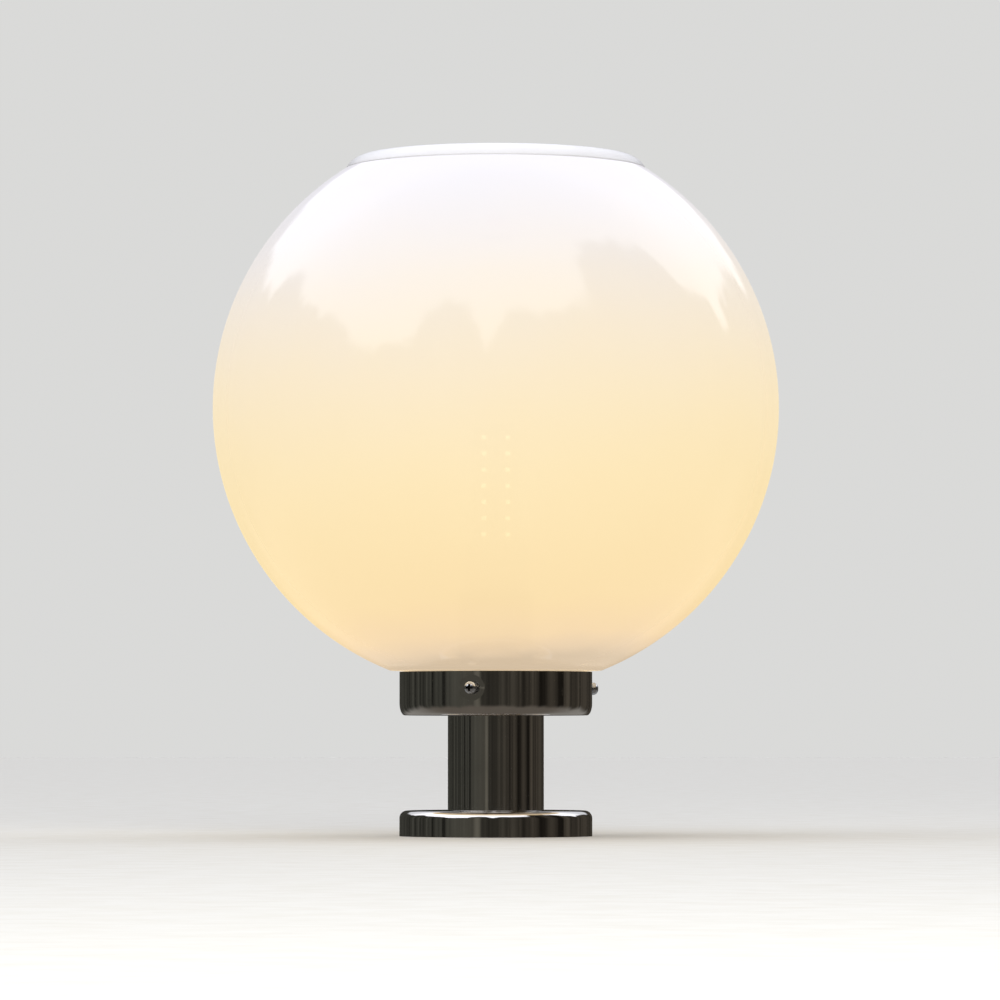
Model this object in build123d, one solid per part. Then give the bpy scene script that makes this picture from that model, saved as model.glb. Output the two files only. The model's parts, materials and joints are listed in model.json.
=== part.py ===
from build123d import *
import math
import os

# Solar pillar lamp: an opal globe on a short stainless column, with a solar head in its top.
# Millimetres. The origin is the centre of the foot, +Z is up and the front is towards -Y.

# Cups and column
cup_diameter = 102.0
cup_wall = 1.2
cup_corner_radius = 4.0
base_cup_height = 13.5
gallery_height = 23.1
column_diameter = 50.8
column_wall = 1.2
column_length = 50.3
centring_disc_thickness = 4.0
centring_clearance = 0.05

# Centre rod, its nuts and the ground strap
rod_diameter = 10.0
rod_foot_gap = 0.5
rod_chamfer = 0.8
rod_hole_clearance = 0.25
thread_clearance = 0.05
rod_nut_width = 17.0
lock_nut_height = 5.0
top_nut_height = 5.5
washer_diameter = 24.0
washer_thickness = 1.5
strap_width = 24.0
strap_thickness = 3.0
strap_end_gap = 4.0
anchor_slot_width = 6.5
anchor_slot_length = 14.0
anchor_end_margin = 6.8

# Clamp screws round the gallery
clamp_count = 3
clamp_angle = 256.3
clamp_drop = 8.9
clamp_pad_diameter = 13.6
screw_diameter = 4.0
screw_head_diameter = 6.6
screw_head_height = 3.0
screw_head_rounding = 1.4
screw_standoff = 2.0
screw_hole_clearance = 0.3
screw_tip_gap = 0.3
clamp_nut_width = 7.0
clamp_nut_height = 3.0
clamp_nut_gap = 0.05

# Globe
globe_diameter = 300.0
globe_wall = 3.0
neck_clearance = 0.8
shoulder_overhang = 5.0
shoulder_rounding = 2.0
rim_gap = 0.6
gallery_gasket_thickness = 2.0
gallery_gasket_lap = 2.0
gallery_gasket_margin = 0.2

# Lamp holder
holder_diameter = 39.0
holder_base_height = 24.0
holder_floor = 4.0
holder_rounding = 5.0
holder_barrel_wall = 2.5
holder_ledge = 1.4
holder_lip = 2.0
holder_lip_clearance = 1.3
rod_in_holder = 6.0
insert_thickness = 5.0
insert_clearance = 0.1
shell_wall = 0.5
tongue_height = 4.0
tongue_width = 6.0
tongue_thickness = 0.5
tongue_length = 12.0
contact_gap = 0.3

# Screw-in lamp
cap_diameter = 25.4
cap_wall = 0.5
cap_length = 20.0
cap_clearance = 0.3
cap_tip_length = 4.0
cap_contact_diameter = 9.0
cap_contact_thickness = 1.2
spigot_clearance = 0.05
spigot_length = 9.0
lamp_seat_gap = 0.5
driver_diameter = 35.0
driver_neck_diameter = 28.4
driver_height = 25.0
driver_flare_height = 9.0
driver_rounding = 2.0
vent_count = 12
vent_width = 2.0
vent_length = 9.0
vent_depth = 1.2
core_faces = 6
core_apothem = 11.0
strip_thickness = 1.0
strip_edge_gap = 0.6
strip_end_margin = 5.0
led_pitch = 8.54
leds_per_strip = 7
led_length = 3.5
led_width = 2.8
led_height = 0.8
end_board_thickness = 1.6
end_led_margin = 4.0

# Solar head: bezel, seat and panel
bezel_diameter = 159.2
bezel_height = 6.5
bezel_crown_width = 11.0
bezel_rim_width = 8.4
seat_ledge = 0.9
head_gasket_inset = 0.2
head_gasket_thickness = 0.8
skirt_clearance = 0.8
skirt_wall = 2.4
skirt_depth = 8.0
panel_set_back = 0.5
panel_seal_width = 1.2
panel_seal_lap = 2.0
panel_seal_clearance = 0.05
backplate_thickness = 1.2
cover_thickness = 1.2
encapsulant_gap = 0.3
cell_thickness = 0.3
cell_width = 9.0
cell_gap = 0.6
cell_border = 1.5
cell_end_margin = 8.0
lead_hole_diameter = 3.6
lead_hole_offset = 30.0

# Solar head: electronics tub
tub_wall = 2.0
tub_corner_radius = 4.0
tub_flange_gap = 0.6
tub_flange_width = 6.8
tub_flange_thickness = 3.0
tub_gasket_thickness = 0.8
tub_gasket_margin = 0.4
tub_screw_count = 6
tub_screw_diameter = 2.9
tub_screw_head_diameter = 5.4
tub_screw_head_height = 2.0
tub_screw_clearance = 0.15
pilot_clearance = 0.05
pilot_cover = 0.9
service_margin = 14.0

# Solar head: battery, controller, switch and grommet
battery_count = 3
battery_diameter = 18.4
battery_length = 65.0
battery_gap = 0.4
battery_clearance = 0.2
battery_button_diameter = 6.0
battery_button_height = 0.8
cradle_floor = 2.0
cradle_groove_depth = 6.0
cradle_wall = 2.5
cradle_side_wall = 1.2
post_diameter = 5.0
post_spread = 28.0
post_sink = 1.0
post_foot_margin = 1.0
board_lift = 1.2
board_thickness = 1.6
board_width = 40.0
component_height = 5.0
component_headroom = 1.0
component_spacing = 3.0
component_edge_margin = 4.0
chip_length = 10.0
chip_width = 7.0
chip_height = 1.7
inductor_diameter = 11.0
capacitor_diameter = 6.4
connector_length = 7.0
connector_width = 9.0
button_diameter = 9.4
button_clearance = 0.3
button_flange_width = 1.1
button_flange_thickness = 1.0
button_reach = 3.0
button_rounding = 1.2
button_travel = 2.0
button_end_room = 0.5
switch_wall = 1.8
switch_roof = 5.5
grommet_bore_diameter = 10.0
grommet_waist_diameter = 13.6
grommet_flange_diameter = 17.6
grommet_flange_thickness = 1.6
grommet_clearance = 0.05

# Radii that follow from the cups, column and rod
cup_radius = cup_diameter / 2
cup_inner_radius = cup_radius - cup_wall
column_radius = column_diameter / 2
column_inner_radius = column_radius - column_wall
rod_radius = rod_diameter / 2
rod_hole_radius = rod_radius + rod_hole_clearance
rod_thread_radius = rod_radius + thread_clearance
strap_end_radius = cup_inner_radius - strap_end_gap
anchor_offset = strap_end_radius - anchor_end_margin - anchor_slot_length / 2

# Heights from the foot up to the lamp
column_bottom = base_cup_height
gallery_bottom = column_bottom + column_length
gallery_floor = gallery_bottom + cup_wall
gallery_rim = gallery_bottom + gallery_height
clamp_height = gallery_rim - clamp_drop
washer_top = gallery_floor + washer_thickness
holder_bottom = washer_top + top_nut_height
holder_joint = holder_bottom + holder_base_height
insert_top = holder_joint + insert_thickness
cap_tip = insert_top + tongue_height + contact_gap
cap_bottom = cap_tip + cap_tip_length
lamp_bottom = cap_bottom + cap_length
barrel_top = lamp_bottom - lamp_seat_gap
core_bottom = lamp_bottom + driver_height
strip_length = (leds_per_strip - 1) * led_pitch + 2 * strip_end_margin
core_top = core_bottom + strip_length

# Globe: neck, shoulder, sphere and the cut that takes the solar head
screw_radius = screw_diameter / 2
neck_radius = cup_inner_radius - clamp_nut_height - neck_clearance
neck_inner_radius = neck_radius - globe_wall
neck_bottom = gallery_floor + gallery_gasket_thickness
globe_radius = globe_diameter / 2
globe_inner_radius = globe_radius - globe_wall
shoulder_radius = cup_radius + shoulder_overhang
shoulder_bottom = gallery_rim + rim_gap
shoulder_top = shoulder_bottom + globe_wall
globe_centre = shoulder_bottom + math.sqrt(globe_radius**2 - shoulder_radius**2)
bezel_radius = bezel_diameter / 2
cut_radius = bezel_radius + seat_ledge
cut_height = globe_centre + math.sqrt(globe_radius**2 - cut_radius**2)
cut_inner_radius = math.sqrt(globe_inner_radius**2 - (cut_height - globe_centre) ** 2)

# Holder and lamp radii
holder_radius = holder_diameter / 2
barrel_inner_radius = holder_radius - holder_barrel_wall
base_inner_radius = barrel_inner_radius - holder_ledge
cap_radius = cap_diameter / 2
shell_inner_radius = cap_radius + cap_clearance
strip_width = 2 * core_apothem * math.tan(math.pi / core_faces) - 2 * strip_edge_gap

# Solar head heights and radii
head_seat = cut_height + head_gasket_thickness
head_top = head_seat + bezel_height
crown_edge = bezel_radius - bezel_crown_width
skirt_radius = cut_inner_radius - skirt_clearance
skirt_inner_radius = skirt_radius - skirt_wall
recess_radius = bezel_radius - bezel_rim_width
panel_radius = recess_radius - panel_seal_width
cover_bottom = head_top - panel_set_back - cover_thickness
cell_bottom = cover_bottom - encapsulant_gap - cell_thickness
panel_bottom = cell_bottom - backplate_thickness
cell_field_radius = panel_radius - panel_seal_lap - cell_border
cell_pitch = cell_width + cell_gap
cells_per_side = int((cell_field_radius - cell_end_margin) // cell_pitch)
tub_flange_radius = skirt_inner_radius - tub_flange_gap
tub_radius = tub_flange_radius - tub_flange_width
tub_inner_radius = tub_radius - tub_wall
tub_flange_top = head_seat - tub_gasket_thickness
tub_flange_bottom = tub_flange_top - tub_flange_thickness
tub_screw_circle = tub_flange_radius - tub_flange_width / 2
service_radius = tub_inner_radius - service_margin
board_top = head_seat - component_headroom - component_height
board_bottom = board_top - board_thickness
battery_centre = board_bottom - board_lift - battery_diameter / 2
tub_floor_top = battery_centre - battery_diameter / 2 - battery_clearance - cradle_floor
tub_bottom = tub_floor_top - tub_wall

# Battery tray and switch
battery_pitch = battery_diameter + battery_gap
groove_radius = battery_diameter / 2 + battery_clearance
cradle_width = battery_count * battery_pitch + 2 * cradle_side_wall
cradle_half_length = battery_length / 2 + battery_button_height + battery_clearance + cradle_wall
post_radius = post_diameter / 2
post_offset = cradle_half_length + post_radius - post_sink
board_length = 2 * (post_offset + post_radius)
button_radius = button_diameter / 2
button_flange_radius = button_radius + button_flange_width
button_hole_radius = button_radius + button_clearance
switch_cavity_radius = button_flange_radius + button_clearance
switch_cavity_height = button_flange_thickness + button_travel + button_end_room
switch_radius = switch_cavity_radius + switch_wall

ON_BASE = (Align.CENTER, Align.CENTER, Align.MIN)


def cylinder(radius, bottom, top):
    """A solid cylinder on the lamp's axis between two heights."""
    return Pos(0, 0, bottom) * Cylinder(radius, top - bottom, align=ON_BASE)


def ring(outer, inner, bottom, top):
    """A plain ring on the lamp's axis between two heights."""
    return cylinder(outer, bottom, top) - cylinder(inner, bottom, top)


def block(length, width, bottom, top):
    """A box centred on the lamp's axis between two heights."""
    return Pos(0, 0, bottom) * Box(length, width, top - bottom, align=ON_BASE)


def hexagon(width, bottom, top):
    """A hexagonal bar on the lamp's axis, by its width across flats."""
    return Pos(0, 0, bottom) * extrude(RegularPolygon(width / 2, 6, major_radius=False), top - bottom)


def turned(*curves):
    """A solid turned about the lamp's axis from an outline of radius and height."""
    edges = [edge for curve in curves for edge in curve.edges()]
    return revolve(Plane.XZ * make_face(edges), Axis.Z)


def facing(angle, height):
    """A plane on the axis at a height, whose normal points outwards at an angle."""
    turn = math.radians(angle)
    return Plane(
        origin=(0, 0, height),
        x_dir=(-math.sin(turn), math.cos(turn), 0),
        z_dir=(math.cos(turn), math.sin(turn), 0),
    )


def top_edges(solid):
    return solid.edges().group_by(Axis.Z)[-1]


def bottom_edges(solid):
    return solid.edges().group_by(Axis.Z)[0]


def group(pieces):
    """Several separate solids that make one node."""
    return Compound([solid for piece in pieces for solid in piece.solids()])


def clamp_angles():
    return [clamp_angle + 360 / clamp_count * number for number in range(clamp_count)]


# Foot and column


def cup(height):
    """A pressed cup, open below, with a rounded corner round its roof and a hole for the rod."""
    outside = cylinder(cup_radius, 0, height)
    inside = cylinder(cup_inner_radius, 0, height - cup_wall)
    outside = fillet(top_edges(outside), cup_corner_radius)
    inside = fillet(top_edges(inside), cup_corner_radius - cup_wall)
    return outside - inside - cylinder(rod_hole_radius, 0, height)


def ground_strap():
    """The flat bar that is screwed to the ground, tapped for the rod, with two slotted holes."""
    strap = block(2 * strap_end_radius, strap_width, 0, strap_thickness)
    strap &= cylinder(strap_end_radius, 0, strap_thickness)
    strap -= cylinder(rod_thread_radius, 0, strap_thickness)
    for side in (-1, 1):
        slot = extrude(SlotOverall(anchor_slot_length, anchor_slot_width), strap_thickness)
        strap -= Pos(side * anchor_offset, 0, 0) * slot
    return strap


def centre_rod():
    rod = cylinder(rod_radius, rod_foot_gap, holder_bottom + rod_in_holder)
    return chamfer(top_edges(rod) + bottom_edges(rod), rod_chamfer)


def rod_nut(bottom, height):
    top = bottom + height
    return hexagon(rod_nut_width, bottom, top) - cylinder(rod_thread_radius, bottom, top)


def centring_disc(bottom):
    radius = column_inner_radius - centring_clearance
    return ring(radius, rod_hole_radius, bottom, bottom + centring_disc_thickness)


def gallery():
    """The upper cup, open above, with a flat pad and a hole for each clamp screw."""
    shell = Pos(0, 0, gallery_rim) * Rot(180, 0, 0) * cup(gallery_height)
    pad_radius = clamp_pad_diameter / 2
    pad_distance = math.sqrt(cup_radius**2 - pad_radius**2)
    for angle in clamp_angles():
        outwards = facing(angle, clamp_height)
        shell -= outwards * Pos(0, 0, pad_distance) * Cylinder(pad_radius, cup_wall, align=ON_BASE)
        shell -= outwards * Cylinder(screw_radius + screw_hole_clearance, cup_diameter, align=ON_BASE)
    return shell


def clamp_nuts():
    """The nuts fixed inside the gallery's wall, one behind each clamp screw."""
    corner_radius = clamp_nut_width / math.sqrt(3)
    seat = math.sqrt(cup_inner_radius**2 - corner_radius**2) - clamp_nut_gap
    nut = hexagon(clamp_nut_width, seat - clamp_nut_height, seat)
    nut -= cylinder(screw_radius + thread_clearance, seat - clamp_nut_height, seat)
    return group(facing(angle, clamp_height) * nut for angle in clamp_angles())


def clamp_screw(angle):
    """A pan-head screw through the gallery's wall, with its tip at the globe's neck."""
    head_seat_distance = cup_radius + screw_standoff
    shank = cylinder(screw_radius, neck_radius + screw_tip_gap, head_seat_distance)
    head = cylinder(screw_head_diameter / 2, head_seat_distance, head_seat_distance + screw_head_height)
    head = fillet(top_edges(head), screw_head_rounding)
    return facing(angle, clamp_height) * (shank + head)


def gallery_gasket():
    outer = cup_radius - cup_corner_radius - gallery_gasket_margin
    return ring(outer, neck_inner_radius - gallery_gasket_lap, gallery_floor, neck_bottom)


# Lamp holder


def holder_base():
    """The lower half of the lamp holder, a hollow cup screwed on the rod's end."""
    body = cylinder(holder_radius, holder_bottom, holder_joint)
    body = fillet(bottom_edges(body), holder_rounding)
    body -= cylinder(base_inner_radius, holder_bottom + holder_floor, holder_joint)
    return body - cylinder(rod_thread_radius, holder_bottom, holder_joint)


def holder_barrel():
    """The upper half of the lamp holder, a sleeve with a lip round the lamp's entry."""
    barrel = cylinder(holder_radius, holder_joint, barrel_top)
    barrel = fillet(top_edges(barrel), holder_lip / 2)
    barrel -= cylinder(barrel_inner_radius, holder_joint, barrel_top - holder_lip)
    return barrel - cylinder(cap_radius + holder_lip_clearance, holder_joint, barrel_top)


def holder_insert():
    return cylinder(barrel_inner_radius - insert_clearance, holder_joint, insert_top)


def holder_shell():
    """The metal shell that the lamp's cap screws into."""
    return ring(shell_inner_radius + shell_wall, shell_inner_radius, insert_top, barrel_top - holder_lip)


def contact_tongue():
    """The sprung centre contact, a strip bent up from the insert."""
    start = -tongue_length / 2
    bend = start + tongue_length / 3
    crest = start + 2 * tongue_length / 3
    end = tongue_length / 2
    raised = tongue_height - tongue_thickness
    outline = Polyline(
        (start, 0),
        (bend, 0),
        (crest, raised),
        (end, raised),
        (end, tongue_height),
        (crest, tongue_height),
        (bend, tongue_thickness),
        (start, tongue_thickness),
        close=True,
    )
    strip = extrude(Plane.XZ * make_face(outline.edges()), tongue_width / 2, both=True)
    return Pos(0, 0, insert_top) * strip


# Screw-in lamp


def lamp_cap():
    """The lamp's thin screw shell, without its thread."""
    return ring(cap_radius, cap_radius - cap_wall, cap_bottom, lamp_bottom)


def cap_insulator():
    """The cone between the screw shell and the centre contact, with a plug inside the shell."""
    contact_radius = cap_contact_diameter / 2
    plug_radius = cap_radius - cap_wall - spigot_clearance
    return turned(
        Polyline(
            (0, cap_tip + cap_contact_thickness),
            (contact_radius, cap_tip + cap_contact_thickness),
            (cap_radius - cap_wall, cap_bottom),
            (plug_radius, cap_bottom),
            (plug_radius, cap_bottom + cap_tip_length),
            (0, cap_bottom + cap_tip_length),
            close=True,
        )
    )


def cap_contact():
    contact = cylinder(cap_contact_diameter / 2, cap_tip, cap_tip + cap_contact_thickness)
    return fillet(bottom_edges(contact), cap_contact_thickness / 2)


def driver_housing():
    """The flared plastic body over the lamp's driver, with a ring of vents and a spigot in the cap."""
    radius = driver_diameter / 2
    neck = driver_neck_diameter / 2
    spigot = cap_radius - cap_wall - spigot_clearance
    body = turned(
        Polyline(
            (0, lamp_bottom - spigot_length),
            (spigot, lamp_bottom - spigot_length),
            (spigot, lamp_bottom),
            (neck, lamp_bottom),
            (radius, lamp_bottom + driver_flare_height),
            (radius, core_bottom),
            (0, core_bottom),
            close=True,
        )
    )
    body = fillet(top_edges(body), driver_rounding)
    vent_middle = (lamp_bottom + driver_flare_height + core_bottom) / 2
    for number in range(vent_count):
        outwards = facing(360 / vent_count * (number + 0.5), vent_middle)
        vent = extrude(Rot(0, 0, 90) * SlotOverall(vent_length, vent_width), 2 * vent_depth)
        body -= outwards * Pos(0, 0, radius - vent_depth) * vent
    return body


def core_angles():
    return [360 / core_faces * number for number in range(core_faces)]


def corn_core():
    """The lamp's aluminium core, one flat side for each strip."""
    side = RegularPolygon(core_apothem, core_faces, major_radius=False, rotation=180 / core_faces)
    return Pos(0, 0, core_bottom) * extrude(side, strip_length)


def led_strips():
    middle = (core_bottom + core_top) / 2
    strip = Pos(0, 0, core_apothem) * Box(strip_width, strip_length, strip_thickness, align=ON_BASE)
    return group(facing(angle, middle) * strip for angle in core_angles())


def end_board():
    """The board on the end of the core, with its own light-emitting diodes."""
    side = RegularPolygon(core_apothem, core_faces, major_radius=False, rotation=180 / core_faces)
    return Pos(0, 0, core_top) * extrude(side, end_board_thickness)


def light_diodes():
    """A column of diodes on each strip, and a ring with one in the middle on the end board."""
    seat = core_apothem + strip_thickness
    side_diode = Pos(0, 0, seat) * Box(led_length, led_width, led_height, align=ON_BASE)
    first = core_bottom + strip_end_margin
    diodes = []
    for angle in core_angles():
        for row in range(leds_per_strip):
            diodes.append(facing(angle, first + row * led_pitch) * side_diode)
    end_seat = core_top + end_board_thickness
    end_diode = block(led_length, led_width, end_seat, end_seat + led_height)
    diodes.append(end_diode)
    for angle in core_angles():
        diodes.append(Rot(0, 0, angle) * Pos(core_apothem - end_led_margin, 0, 0) * end_diode)
    return group(diodes)


# Globe


def globe():
    """The opal globe: a spherical shell with a flat shoulder and a neck below, cut off flat above."""
    bend_height = shoulder_bottom + shoulder_rounding
    bend_path = globe_radius - shoulder_rounding
    bend_radius = math.sqrt(bend_path**2 - (globe_centre - bend_height) ** 2)
    tangent = globe_radius / bend_path
    side_start = (bend_radius * tangent, globe_centre - (globe_centre - bend_height) * tangent)
    low = math.atan2(side_start[1] - globe_centre, side_start[0])
    bend_angle = (low - math.pi / 2) / 2
    bend_middle = (
        bend_radius + shoulder_rounding * math.cos(bend_angle),
        bend_height + shoulder_rounding * math.sin(bend_angle),
    )
    inner_start = math.sqrt(globe_inner_radius**2 - (globe_centre - shoulder_top) ** 2)
    return turned(
        Polyline((neck_radius, neck_bottom), (neck_radius, shoulder_bottom), (bend_radius, shoulder_bottom)),
        ThreePointArc((bend_radius, shoulder_bottom), bend_middle, side_start),
        ThreePointArc(side_start, (globe_radius, globe_centre), (cut_radius, cut_height)),
        Line((cut_radius, cut_height), (cut_inner_radius, cut_height)),
        ThreePointArc(
            (cut_inner_radius, cut_height), (globe_inner_radius, globe_centre), (inner_start, shoulder_top)
        ),
        Polyline(
            (inner_start, shoulder_top),
            (neck_inner_radius, shoulder_top),
            (neck_inner_radius, neck_bottom),
            (neck_radius, neck_bottom),
        ),
    )


def globe_band(bottom, top):
    """The part of the globe between two heights. The bands meet face to face and make one moulding."""
    return globe() & cylinder(globe_diameter, bottom, top)


# Solar head


def tub_screw_places():
    return PolarLocations(tub_screw_circle, tub_screw_count)


def solar_bezel():
    """The moulded lid: a rim crowned in one arc, a recess for the panel and a skirt inside the globe's cut."""
    bezel = turned(
        Line((0, head_seat), (bezel_radius, head_seat)),
        TangentArc((crown_edge, head_top), (bezel_radius, head_seat), tangent=(1, 0)),
        Polyline((crown_edge, head_top), (0, head_top), (0, head_seat)),
    )
    bezel += ring(skirt_radius, skirt_inner_radius, head_seat - skirt_depth, head_seat)
    bezel -= cylinder(recess_radius, panel_bottom, head_top)
    bezel -= Pos(0, lead_hole_offset, 0) * cylinder(lead_hole_diameter / 2, head_seat, panel_bottom)
    pilot = cylinder(tub_screw_diameter / 2 + pilot_clearance, head_seat, panel_bottom - pilot_cover)
    for place in tub_screw_places():
        bezel -= place * pilot
    return bezel


def head_gasket():
    outer = bezel_radius - head_gasket_inset
    return ring(outer, cut_inner_radius + head_gasket_inset, cut_height, head_seat)


def panel_backplate():
    plate = cylinder(panel_radius, panel_bottom, cell_bottom)
    return plate - Pos(0, lead_hole_offset, 0) * cylinder(lead_hole_diameter / 2, panel_bottom, cell_bottom)


def solar_cells():
    """Strips of cell side by side, each as long as the round panel allows."""
    strips = []
    for number in range(-cells_per_side, cells_per_side):
        middle = (number + 0.5) * cell_pitch
        reach = abs(middle) + cell_width / 2
        length = 2 * math.sqrt(cell_field_radius**2 - reach**2)
        strip = block(cell_width, length, cell_bottom, cell_bottom + cell_thickness)
        strips.append(Pos(middle, 0, 0) * strip)
    return group(strips)


def panel_cover():
    return cylinder(panel_radius, cover_bottom, cover_bottom + cover_thickness)


def panel_seal():
    """The seal round the panel's edge, with a lap that spaces the cover from the backplate."""
    outer = recess_radius - panel_seal_clearance
    edge = panel_radius + panel_seal_clearance
    seal = ring(outer, edge, panel_bottom, cover_bottom + cover_thickness)
    return seal + ring(outer, panel_radius - panel_seal_lap, cell_bottom, cover_bottom)


def tub_gasket():
    gasket = ring(tub_flange_radius, tub_radius + tub_gasket_margin, tub_flange_top, head_seat)
    hole = cylinder(tub_screw_diameter / 2 + tub_screw_clearance, tub_flange_top, head_seat)
    for place in tub_screw_places():
        gasket -= place * hole
    return gasket


def electronics_tub():
    """The round tub under the bezel, with a screwed flange and holes for the button and the lead."""
    tub = cylinder(tub_radius, tub_bottom, tub_flange_top)
    tub = fillet(bottom_edges(tub), tub_corner_radius)
    tub += ring(tub_flange_radius, tub_inner_radius, tub_flange_bottom, tub_flange_top)
    inside = cylinder(tub_inner_radius, tub_floor_top, tub_flange_top)
    tub -= fillet(bottom_edges(inside), tub_corner_radius - tub_wall)
    hole = cylinder(tub_screw_diameter / 2 + tub_screw_clearance, tub_flange_bottom, tub_flange_top)
    for place in tub_screw_places():
        tub -= place * hole
    tub -= Pos(0, -service_radius, 0) * cylinder(button_hole_radius, tub_bottom, tub_floor_top)
    grommet_hole_radius = grommet_waist_diameter / 2 + grommet_clearance
    return tub - Pos(0, service_radius, 0) * cylinder(grommet_hole_radius, tub_bottom, tub_floor_top)


def tub_screws():
    head_bottom = tub_flange_bottom - tub_screw_head_height
    head = cylinder(tub_screw_head_diameter / 2, head_bottom, tub_flange_bottom)
    head = fillet(bottom_edges(head), tub_screw_head_height / 2)
    tip = panel_bottom - pilot_cover - pilot_clearance
    screw = head + cylinder(tub_screw_diameter / 2, tub_flange_bottom, tip)
    return group(place * screw for place in tub_screw_places())


def battery_rows():
    return [(number - (battery_count - 1) / 2) * battery_pitch for number in range(battery_count)]


def battery_cells():
    """Round cells side by side, each with its raised end button."""
    end = battery_length / 2
    can = cylinder(battery_diameter / 2, -end, end)
    button = cylinder(battery_button_diameter / 2, end, end + battery_button_height)
    cell = Rot(0, 90, 0) * (can + button)
    return group(Pos(0, row, battery_centre) * cell for row in battery_rows())


def battery_cradle():
    """The tray under the cells, with end walls and four posts that carry the controller board."""
    tray_top = tub_floor_top + cradle_floor + cradle_groove_depth
    tray = block(2 * cradle_half_length, cradle_width, tub_floor_top, tray_top)
    for row in battery_rows():
        groove = Rot(0, 90, 0) * Cylinder(groove_radius, 2 * (cradle_half_length - cradle_wall))
        tray -= Pos(0, row, battery_centre) * groove
    foot_length = board_length + 2 * post_foot_margin
    foot_width = post_spread + post_diameter + 2 * post_foot_margin
    tray += block(foot_length, foot_width, tub_floor_top, tub_floor_top + cradle_floor)
    for place in GridLocations(2 * post_offset, post_spread, 2, 2):
        tray += place * cylinder(post_radius, tub_floor_top, board_bottom)
    return tray


def controller_board():
    return block(board_length, board_width, board_bottom, board_top)


def board_components():
    """The chip, inductor, capacitors and connectors on the controller board."""
    top = board_top + component_height
    board_edge = board_length / 2 - component_edge_margin
    chip = block(chip_length, chip_width, board_top, board_top + chip_height)
    inductor_place = board_edge - inductor_diameter / 2
    inductor = Pos(inductor_place, 0, 0) * cylinder(inductor_diameter / 2, board_top, top)
    capacitor_place = inductor_place - (inductor_diameter + capacitor_diameter) / 2 - component_spacing
    capacitor_side = (capacitor_diameter + component_spacing) / 2
    capacitor = cylinder(capacitor_diameter / 2, board_top, top)
    connector_place = connector_length / 2 - board_edge
    connector_side = (connector_width + component_spacing) / 2
    connector = block(connector_length, connector_width, board_top, top)
    pieces = [chip, inductor]
    for side in (-1, 1):
        pieces.append(Pos(capacitor_place, side * capacitor_side, 0) * capacitor)
        pieces.append(Pos(connector_place, side * connector_side, 0) * connector)
    return group(pieces)


def switch_body():
    """The switch's case on the tub's floor, hollow below where the button slides."""
    roof = tub_floor_top + switch_cavity_height + switch_roof
    case = cylinder(switch_radius, tub_floor_top, roof)
    case -= cylinder(switch_cavity_radius, tub_floor_top, tub_floor_top + switch_cavity_height)
    return Pos(0, -service_radius, 0) * case


def power_button():
    """The push button, with a flange that keeps it in the tub."""
    stem = cylinder(button_radius, tub_bottom - button_reach, tub_floor_top)
    stem = fillet(bottom_edges(stem), button_rounding)
    flange = cylinder(button_flange_radius, tub_floor_top, tub_floor_top + button_flange_thickness)
    return Pos(0, -service_radius, 0) * (stem + flange)


def lead_grommet():
    """The rubber grommet for the lamp's lead, with its waist in the tub's floor."""
    flange_radius = grommet_flange_diameter / 2
    low = tub_bottom - grommet_flange_thickness
    high = tub_floor_top + grommet_flange_thickness
    body = cylinder(grommet_waist_diameter / 2, low, high)
    body += cylinder(flange_radius, low, tub_bottom)
    body += cylinder(flange_radius, tub_floor_top, high)
    return Pos(0, service_radius, 0) * (body - cylinder(grommet_bore_diameter / 2, low, high))


nodes = {
    "base_cup": cup(base_cup_height),
    "ground_strap": ground_strap(),
    "centre_rod": centre_rod(),
    "rod_lock_nut": rod_nut(strap_thickness, lock_nut_height),
    "lower_centring_disc": centring_disc(column_bottom),
    "upper_centring_disc": centring_disc(gallery_bottom - centring_disc_thickness),
    "column_tube": ring(column_radius, column_inner_radius, column_bottom, gallery_bottom),
    "gallery_cup": gallery(),
    "clamp_nuts": clamp_nuts(),
    "gallery_gasket": gallery_gasket(),
    "rod_washer": ring(washer_diameter / 2, rod_hole_radius, gallery_floor, washer_top),
    "rod_top_nut": rod_nut(washer_top, top_nut_height),
    "holder_base": holder_base(),
    "holder_insert": holder_insert(),
    "holder_shell": holder_shell(),
    "contact_tongue": contact_tongue(),
    "holder_barrel": holder_barrel(),
    "lamp_cap": lamp_cap(),
    "cap_insulator": cap_insulator(),
    "cap_contact": cap_contact(),
    "driver_housing": driver_housing(),
    "corn_core": corn_core(),
    "led_strips": led_strips(),
    "led_end_board": end_board(),
    "light_diodes": light_diodes(),
    "globe_neck": globe_band(neck_bottom, shoulder_top),
    "globe_bowl": globe_band(shoulder_top, globe_centre),
    "globe": globe_band(globe_centre, cut_height),
    "head_gasket": head_gasket(),
    "solar_bezel": solar_bezel(),
    "panel_backplate": panel_backplate(),
    "solar_cells": solar_cells(),
    "panel_cover": panel_cover(),
    "panel_seal": panel_seal(),
    "tub_gasket": tub_gasket(),
    "electronics_tub": electronics_tub(),
    "tub_screws": tub_screws(),
    "battery_cells": battery_cells(),
    "battery_cradle": battery_cradle(),
    "controller_board": controller_board(),
    "board_components": board_components(),
    "switch_body": switch_body(),
    "power_button": power_button(),
    "lead_grommet": lead_grommet(),
}
for number, angle in enumerate(clamp_angles(), start=1):
    nodes[f"clamp_screw_{number}"] = clamp_screw(angle)

os.makedirs("parts", exist_ok=True)
for name, solid in nodes.items():
    export_step(solid, f"parts/{name}.step")
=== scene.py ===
import json
import math

import bmesh
import bpy
from mathutils import Matrix, Vector

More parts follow.
